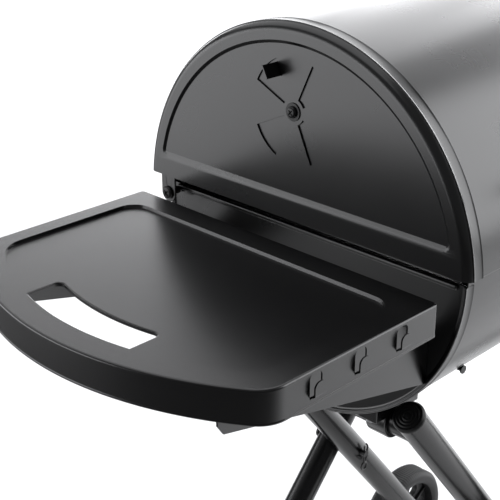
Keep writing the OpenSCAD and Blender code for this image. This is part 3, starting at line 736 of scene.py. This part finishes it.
def shelf_sides(shape):
    """Bowed and straight sides of the shelf, from the hem to the top bend, with the hooks' windows."""
    top, bottom = SHELF[1].z, SHELF[0].z
    hem = [(inset * MM, bottom + rise * MM) for inset, rise in
           ((2, 1.2), (1.4, 0.3), (0.8, 0), (0.2, 0.3), (0, 0.9), (0.05, 1.6), (0.25, 2.1))]
    side = hem + [(SIDE_RECESS, bottom + 2.5 * MM), (SIDE_RECESS, top - BEND_R)]
    over = [(SIDE_RECESS + BEND_R * (1 - math.cos(a)), top - BEND_R * (1 - math.sin(a)))
            for a in (math.radians(90 * i / 6) for i in range(1, 7))]
    rings = [shape.ring(shelf_loop(SHELF_HALF - i, SHELF_HALF - i, BOW_R - i, CORNER_R - i,
                                   SHELF[1].x, 3 * MM, z)) for i, z in side + over]
    for k, (a, b) in enumerate(zip(rings, rings[1:])):
        if k != len(hem):
            shape.join(a, b, closed=False)
            continue
        near, far = INNER_STEPS, INNER_STEPS + 1
        shape.join(a[:far], b[:far], closed=False)
        shape.join(a[far:], b[far:], closed=False)
        windows = [shape.ring(window_loop(x, SHELF_FRONT)) for x in TONGUE_X]
        shape.fill([[a[near], a[far], b[far], b[near]]] + windows, (0, -1, 0))
    return rings[-1]


def shelf_top(shape, edge):
    """Raised border, the sunk panel inside it, and the hand hole with its rounded lip."""
    top = SHELF[1].z
    wall = 1.0 * MM
    panel = []
    for t in (0, 0.5, 1):
        inset = wall * t
        panel.append(shape.ring(shelf_loop(
            SHELF_HALF - BORDER - inset, SHELF_HALF - REAR_BORDER - inset, BOW_R - BORDER - inset,
            34 * MM - inset, SHELF[1].x - BORDER - inset, 20 * MM - inset, top - SHELF_SUNK * t)))
    for a, b in zip(panel, panel[1:]):
        shape.join(a, b)
    shape.fill([edge, panel[0]], (0, 0, 1))
    floor_z = top - SHELF_SUNK
    hole = [hand_hole_loop(floor_z - LIP_R * (1 - math.cos(a)), LIP_R * (1 - math.sin(a)))
            for a in (math.radians(90 * i / 6) for i in range(7))]
    hole.append(hand_hole_loop(floor_z - 3.6 * MM, 0))
    made = shape.loft(hole)
    shape.fill([panel[-1], made[0]], (0, 0, 1))


def make_shelf(paint):
    shape = Shape()
    shelf_top(shape, shelf_sides(shape))
    plate = shape.made("shelf")
    faces_up = max(plate.data.polygons, key=lambda f: f.area).normal.z > 0
    thicken(plate, SHELF_SHEET, -1.0 if faces_up else 1.0, False)
    flatten(plate)
    parts = [plate]
    for x in TONGUE_X:
        parts.append(tongue(x, SHELF_FRONT))
    shelf = join_objects("shelf", parts)
    settle(shelf, "grill_body", ["shelf_panel"], paint, 32)


# ---------- screws, pins and clips ----------
WASHER_SHEET = 1.1 * MM


def cross_cutter(centre, axis, width, reach, depth):
    """Tapered cross that a screwdriver fits."""
    axis = Vector(axis).normalized()
    side = axis.orthogonal().normalized()
    up = axis.cross(side)
    half = width / 2
    outline = [(half, half), (half, reach), (-half, reach), (-half, half),
               (-reach, half), (-reach, -half), (-half, -half), (-half, -reach),
               (half, -reach), (half, -half), (reach, -half), (reach, half)]
    shape = Shape()
    rings = [[Vector(centre) + axis * along + (side * u + up * v) * grow for u, v in outline]
             for along, grow in ((2 * MM, 1.25), (-depth, 0.5))]
    first, last = shape.loft(rings)
    shape.fill([first], axis)
    shape.fill([last], -axis)
    return shape.made("cutter")


def cut(thing, cutter):
    boolean = thing.modifiers.new("cut", "BOOLEAN")
    boolean.operation = "DIFFERENCE"
    boolean.solver = "EXACT"
    boolean.object = cutter
    flatten(thing)
    mesh = cutter.data
    bpy.data.objects.remove(cutter)
    bpy.data.meshes.remove(mesh)
    return thing


def pan_head(centre, axis, radius, height, shank, shank_r, washer=0.0):
    """Pan-head screw with a cross recess. The centre lies where the head meets its seat."""
    low = 0.25 * height
    profile = [(-shank, 0), (-shank, shank_r), (0, shank_r), (0, radius * 0.97), (low * 0.3, radius),
               (low, radius)]
    profile += [(low + (height - low) * math.sin(a), radius * (0.55 + 0.45 * math.cos(a)))
                for a in (math.radians(90 * i / 8) for i in range(1, 9))]
    profile += [(height * 1.02, radius * 0.3), (height * 1.03, 0)]
    head = turned("head", profile, centre, axis, 40)
    top = Vector(centre) + Vector(axis).normalized() * height
    cut(head, cross_cutter(top, axis, radius * 0.3, radius * 0.62, height * 0.55))
    if not washer:
        return [head]
    chamfer = 0.3 * MM
    profile = [(0, shank_r), (0, washer - chamfer), (-chamfer, washer),
               (chamfer - WASHER_SHEET, washer), (-WASHER_SHEET, washer - chamfer),
               (-WASHER_SHEET, shank_r)]
    return [head, turned("washer", profile, centre, axis, 48)]


def make_screws(black):
    z, y = middle("vent_screws").z, middle("vent_screws").y
    seat = FACE_X + PANEL_DEPTH
    parts = []
    for way, x in ((-1, seat), (1, 2 * MIDDLE_X - seat)):
        parts += pan_head((x + way * WASHER_SHEET, y, z), (way, 0, 0), 5.5 * MM, 3 * MM,
                          9 * MM, 3 * MM, washer=8.5 * MM)
    settle(join_objects("vent_pivot_screws", parts), "lid",
           ["vent_screws"], black, 35)
    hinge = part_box("hinge_screws")
    hinge_y, hinge_z = middle("hinge_screws").y, middle("hinge_screws").z
    height = 3.2 * MM
    parts = []
    for way, x in ((-1, hinge[0].x + height), (1, hinge[1].x - height)):
        parts += pan_head((x, hinge_y, hinge_z), (way, 0, 0), 7 * MM, height, 14 * MM, 4 * MM)
    settle(join_objects("hinge_pivot_screws", parts), "grill_body",
           ["hinge_screws"], black, 35)


def make_clips(black):
    """Spring clips: a straight leg through the pin and one that curls round it, joined by a ring."""
    parts = []
    low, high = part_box("hairpin_clips")
    pin = middle("scissor_pins")
    x, z = pin.x, pin.z
    wire = 1.2 * MM
    for y in (low.y + wire, high.y - wire):
        straight = [(x, y, z + 10 * MM), (x, y, z - 14 * MM)]
        curl = [(x + dx * MM, y, z + dz * MM) for dx, dz in
                ((3, 12), (5.5, 9), (6, 5), (5.4, 2), (6.2, -1), (6, -5), (3.5, -9), (1.2, -13),
                 (0, -14))]
        loop = [(x + 5 * MM * math.sin(t), y, z - 19 * MM + 5 * MM * math.cos(t))
                for t in (2 * math.pi * i / 24 for i in range(24))]
        parts.append(swept("leg", straight, wire, 10))
        parts.append(swept("curl", smoothed(curl), wire, 10))
        parts.append(swept("ring", loop, wire, 10, closed=True))
    settle(join_objects("spring_clips", parts), "inner_frame",
           ["hairpin_clips"], black, 35)


def smoothed(points):
    """A smooth curve through given points."""
    steps = 4
    points = [Vector(p) for p in points]
    out = []
    for i in range(len(points) - 1):
        a, b, c = points[max(i - 1, 0)], points[i], points[i + 1]
        d = points[min(i + 2, len(points) - 1)]
        for k in range(steps):
            t = k / steps
            out.append(0.5 * (2 * b + (c - a) * t + (2 * a - 5 * b + 4 * c - d) * t * t
                              + (3 * b - a - 3 * c + d) * t ** 3))
    return out + [points[-1]]


# ---------- legs ----------
TUBE_R = 16 * MM
TUBE_PAST_CROSS = 24 * MM
TUBE_PAST_AXLE = 20 * MM


def plug(name, end, along):
    """Ribbed plastic plug in the end of a tube. The way along points out of the tube."""
    r = TUBE_R
    depth = 14 * MM
    bore_r = r - 1.5 * MM
    profile = [(-depth, 0), (-depth, bore_r - 0.7 * MM), (2 * MM - depth, bore_r),
               (-0.2 * MM, bore_r), (-0.2 * MM, r + 0.6 * MM), (0.4 * MM, r + MM),
               (2.4 * MM, r + MM), (3.4 * MM, r + 0.4 * MM)]
    for i in range(4):
        base = r - (0.4 + 3.3 * i) * MM
        lift = (3.6 + 2.6 * math.sqrt((i + 1) / 4)) * MM
        profile += [(lift, base), (lift + 0.5 * MM, base - 0.5 * MM), (lift + 0.5 * MM, base - 1.9 * MM),
                    (lift, base - 2.3 * MM)]
    profile += [(6.6 * MM, 2.4 * MM), (6.8 * MM, 0)]
    return turned(name, profile, end, along, 64)


def leg_line(top, bottom):
    """Unit vector along a leg from its upper to its lower end, in the plane of the leg."""
    way = Vector((bottom.x - top.x, 0, bottom.z - top.z))
    return way.normalized()


def make_plugs(plastic):
    fold = middle("inner_cross_tube")
    axle = middle("wheel_axle")
    down = leg_line(fold, axle)
    reach = (Vector((axle.x, 0, axle.z)) - Vector((fold.x, 0, fold.z))).length
    parts = []
    for node in ("inner_leg_front", "inner_leg_rear"):
        y = middle(node).y
        start = Vector((fold.x, y, fold.z))
        parts.append(plug("plug", start - down * TUBE_PAST_CROSS, -down))
        parts.append(plug("plug", start + down * (reach + TUBE_PAST_AXLE), down))
    settle(join_objects("inner_leg_plugs", parts), "inner_frame",
           ["inner_plugs"], plastic, 35)
    rest = middle("outer_cross_tube")
    foot = middle("foot_tube")
    up = -leg_line(rest, foot)
    parts = []
    for node in ("outer_leg_front", "outer_leg_rear"):
        y = middle(node).y
        parts.append(plug("plug", Vector((rest.x, y, rest.z)) + up * TUBE_PAST_CROSS, up))
    settle(join_objects("outer_leg_plugs", parts), "outer_frame",
           ["outer_plugs"], plastic, 35)


# ---------- wheels ----------
TREAD_RIBS = 110
RIB_DEPTH = 1.1 * MM
WHEEL_HOLES = 6
WHEEL_PITCH = 360 / WHEEL_HOLES
HOLE_R = 9.5 * MM
HOLE_RING_R = 36 * MM
DISH_R = 52 * MM
HUB_R = 16 * MM
WHEEL_BORE = 8 * MM
WEB_HALF = 4 * MM
TAPER = 0.7


def circle_loop(centre, radius, y, steps):
    return [(centre.x + radius * math.cos(2 * math.pi * i / steps), y,
             centre.z + radius * math.sin(2 * math.pi * i / steps)) for i in range(steps)]


def tyre(centre, radius, half):
    """Ribbed tread with rounded shoulders and an inner wall."""
    steps = TREAD_RIBS * 4
    shoulder_r = radius - 1.4 * MM
    section = [(-half + 3 * MM, DISH_R), (-half + 0.6 * MM, 55 * MM), (-half, 58 * MM),
               (-half, 62.5 * MM), (-half + 0.8 * MM, 64.8 * MM), (-half + 2.6 * MM, 67 * MM),
               (-half + 5 * MM, shoulder_r)]
    groove_r = radius - 0.6 * MM
    tread = [(-half + 6 * MM, radius), (-half + 14 * MM, radius), (-half + 15 * MM, groove_r),
             (half - 15 * MM, groove_r), (half - 14 * MM, radius), (half - 6 * MM, radius)]
    inner = [(half - 3 * MM, DISH_R), (3 * MM, DISH_R - 2 * MM), (-3 * MM, DISH_R - 2 * MM)]
    shoulder = [(-y, r) for y, r in section[1:]][::-1]
    shape = Shape()
    rings = []
    for i in range(steps):
        t = 2 * math.pi * i / steps
        between_ribs = (i % 4) in (2, 3)
        ring = []
        for y, r in section + tread + shoulder + inner:
            drop = RIB_DEPTH if between_ribs and r > radius - 2 * MM else 0
            if between_ribs and 66 * MM < r <= radius - 1.3 * MM:
                drop = RIB_DEPTH * TAPER
            reach = r - drop
            ring.append((centre.x + reach * math.cos(t), centre.y + y, centre.z + reach * math.sin(t)))
        rings.append(shape.ring(ring))
    for i in range(steps):
        shape.join(rings[i], rings[(i + 1) % steps])
    return shape.made("tyre")


def wheel_web(centre):
    """Face of the wheel: a plate with six round openings about the bore."""
    plate = Shape()
    face = {}
    for y in (-WEB_HALF, WEB_HALF):
        loops = [plate.ring(circle_loop(centre, DISH_R + 1.5 * MM, centre.y + y, 96)),
                 plate.ring(circle_loop(centre, WHEEL_BORE, centre.y + y, 48))]
        for i in range(WHEEL_HOLES):
            t = math.radians(WHEEL_PITCH * i)
            hole_centre = centre + HOLE_RING_R * Vector((math.cos(t), 0, math.sin(t)))
            loops.append(plate.ring(circle_loop(hole_centre, HOLE_R, centre.y + y, 32)))
        plate.fill(loops, (0, 1 if y > 0 else -1, 0))
        face[y > 0] = loops
    for a, b in zip(face[False], face[True]):
        plate.join(a, b)
    web = plate.made("web")
    soften(web, 0.8 * MM, 3, 50)
    return flatten(web)


def wheel_spoke(centre, turn, side):
    """Tapered rib on one side of the plate, from the hub to the tyre."""
    way = Vector((math.cos(turn), 0, math.sin(turn)))
    across = Vector((-way.z, 0, way.x)) * 1.6 * MM
    foot = Vector((0, side * 3 * MM, 0))
    spoke = Shape()
    rings = []
    for distance, height in ((HUB_R - MM, 9 * MM), (DISH_R, 7 * MM)):
        p = centre + way * distance
        top = Vector((0, side * height, 0))
        rings.append([p - across + foot, p + across + foot,
                      p + across * TAPER + top, p - across * TAPER + top])
    for ring in spoke.loft(rings):
        spoke.faces.append(tuple(ring))
    made = spoke.made("spoke")
    soften(made, 0.5 * MM, 2, 40)
    return flatten(made)


def wheel_hub(centre, half):
    edge_r = HUB_R - 0.6 * MM
    face_r = HUB_R - 1.5 * MM
    profile = [(-half, WHEEL_BORE), (-half, face_r), (-half + 1.5 * MM, edge_r),
               (-WEB_HALF, HUB_R + MM), (WEB_HALF, HUB_R + MM), (half - 1.5 * MM, edge_r),
               (half, face_r), (half, WHEEL_BORE), (0, WHEEL_BORE)]
    return turned("hub", profile, centre, (0, 1, 0), 64, closed=True)


def wheel(name, node):
    """Moulded wheel: tyre, a face with round openings, spokes and a hub."""
    low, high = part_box(node)
    centre = (low + high) / 2
    radius = (high.z - low.z) / 2
    half = (high.y - low.y) / 2
    parts = [tyre(centre, radius, half), wheel_web(centre), wheel_hub(centre, half)]
    for i in range(WHEEL_HOLES):
        for side in (-1, 1):
            parts.append(wheel_spoke(centre, math.radians(WHEEL_PITCH * (i + 0.5)), side))
    return join_objects(name, parts)


def make_wheels(plastic):
    for name, node in (("front_wheel_moulding", "wheel_front"), ("rear_wheel_moulding", "wheel_rear")):
        made = wheel(name, node)
        body = "front_wheel" if node == "wheel_front" else "rear_wheel"
        settle(made, body, [node], plastic, 35, False)


# ---------- grip ----------
def make_grip(plastic):
    low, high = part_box("grip")
    centre = (low + high) / 2
    radius = (high.z - low.z) / 2
    half = (high.x - low.x) / 2
    round_r = 3 * MM
    groove_r = radius - 0.9 * MM
    profile = [(-half, 0), (-half, radius - round_r)]
    profile += [(-half + round_r * (1 - math.cos(a)), radius - round_r * (1 - math.sin(a)))
                for a in (math.radians(90 * i / 5) for i in range(1, 6))]
    for k in range(3):
        start = -half + (8 + 4 * k) * MM
        profile += [(start, radius), (start + 0.6 * MM, groove_r), (start + 1.6 * MM, groove_r),
                    (start + 2.2 * MM, radius)]
    profile += [(-a, r) for a, r in reversed(profile)]
    settle(turned("grip_tube", profile, centre, (1, 0, 0), 64), "lid",
           ["grip"], plastic, 35)


# ---------- CAD nodes that stay ----------
def refine(node, width):
    """Gives a CAD node rounded edges and even shading with modifiers only."""
    weld = node.modifiers.new("weld", "WELD")
    weld.merge_threshold = 0.005 * MM
    soften(node, width, 2, 35)
    normals = node.modifiers.new("normals", "WEIGHTED_NORMAL")
    normals.keep_sharp = True


# Width of each node's rounded edges, in millimetres.
EDGE_WIDTHS = {
    "shelf_bracket_front": 0.5, "shelf_bracket_rear": 0.5, "saddle_front": 1.2, "saddle_rear": 1.2,
    "leg_stop": 1.0, "feet": 1.2, "foot_tube": 0.4, "damper_left": 0.35, "damper_right": 0.35,
    "intake_damper": 0.35, "lid_ear_left": 0.4, "lid_ear_right": 0.4, "axle_caps": 0.5,
    "grip_posts": 0.5, "bracket_bolts": 0.4, "bracket_nuts": 0.4, "saddle_bolts": 0.4,
    "saddle_nuts": 0.4, "vent_nuts": 0.4, "hinge_nuts": 0.4, "scissor_pins": 0.5, "wheel_axle": 0.8,
}


# ---------- the finishes of this grill ----------
POWDER_BLACK = (0.0010, 0.0010, 0.0014)
TUBE_BLACK = (0.0014, 0.0014, 0.0017)
EVEN_GLOSS = 0.012
paint = finish("barrel_powder_coat", POWDER_BLACK, 0.28, ior=1.8, bump=0.06, grain=1400,
               rough_spread=EVEN_GLOSS)
shelf_paint = finish("shelf_powder_coat", POWDER_BLACK, 0.26, ior=1.8, bump=0.12, grain=1400,
                     rough_spread=EVEN_GLOSS)
tube_paint = finish("tube_powder_coat", TUBE_BLACK, 0.24, ior=1.55, bump=0.1, grain=1400,
                    rough_spread=EVEN_GLOSS)
black_plastic = finish("black_plastic", (0.002, 0.002, 0.0024), 0.42, ior=1.4, bump=0.3, grain=700)
black_oxide = finish("black_screws", (0.003, 0.003, 0.0034), 0.32, ior=1.5, bump=0.1, grain=1500)
zinc = finish("zinc_plate", (0.55, 0.56, 0.58), 0.32, metallic=1.0, bump=0.1, grain=600)
chrome = finish("chrome_wire", (0.62, 0.62, 0.63), 0.2, metallic=1.0, bump=0.1, grain=500)
wheel_plastic = finish("wheel_plastic", (0.014, 0.014, 0.015), 0.55, ior=1.5, bump=0.4, grain=800)

SLOT_FINISH = {
    "barrel_steel": paint, "pressed_steel": paint, "shelf_steel": shelf_paint,
    "bracket_steel": shelf_paint, "tube_steel": tube_paint, "black_plastic": black_plastic,
    "wheel_plastic": wheel_plastic, "bush_plastic": black_plastic, "black_hardware": black_oxide,
    "damper_steel": paint, "zinc": zinc, "grate_wire": chrome, "charcoal_wire": paint,
}


def dress_cad_nodes():
    """Every CAD node gets the finish of its own material slot. Scissor pins and rivets are black."""
    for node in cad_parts.values():
        slot = node.data.materials[0].name.split(".")[0]
        node.data.materials[0] = SLOT_FINISH[slot]
    for name in ("scissor_pins", "ledge_rivets"):
        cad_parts[name].data.materials[0] = black_oxide


make_camera()
make_studio()
dress_cad_nodes()
make_lid(paint)
make_firebox(paint)
make_shelf(shelf_paint)
make_screws(black_oxide)
make_clips(black_oxide)
make_plugs(black_plastic)
make_wheels(wheel_plastic)
make_grip(black_plastic)
for node_name, edge_width in EDGE_WIDTHS.items():
    refine(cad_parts[node_name], edge_width * MM)
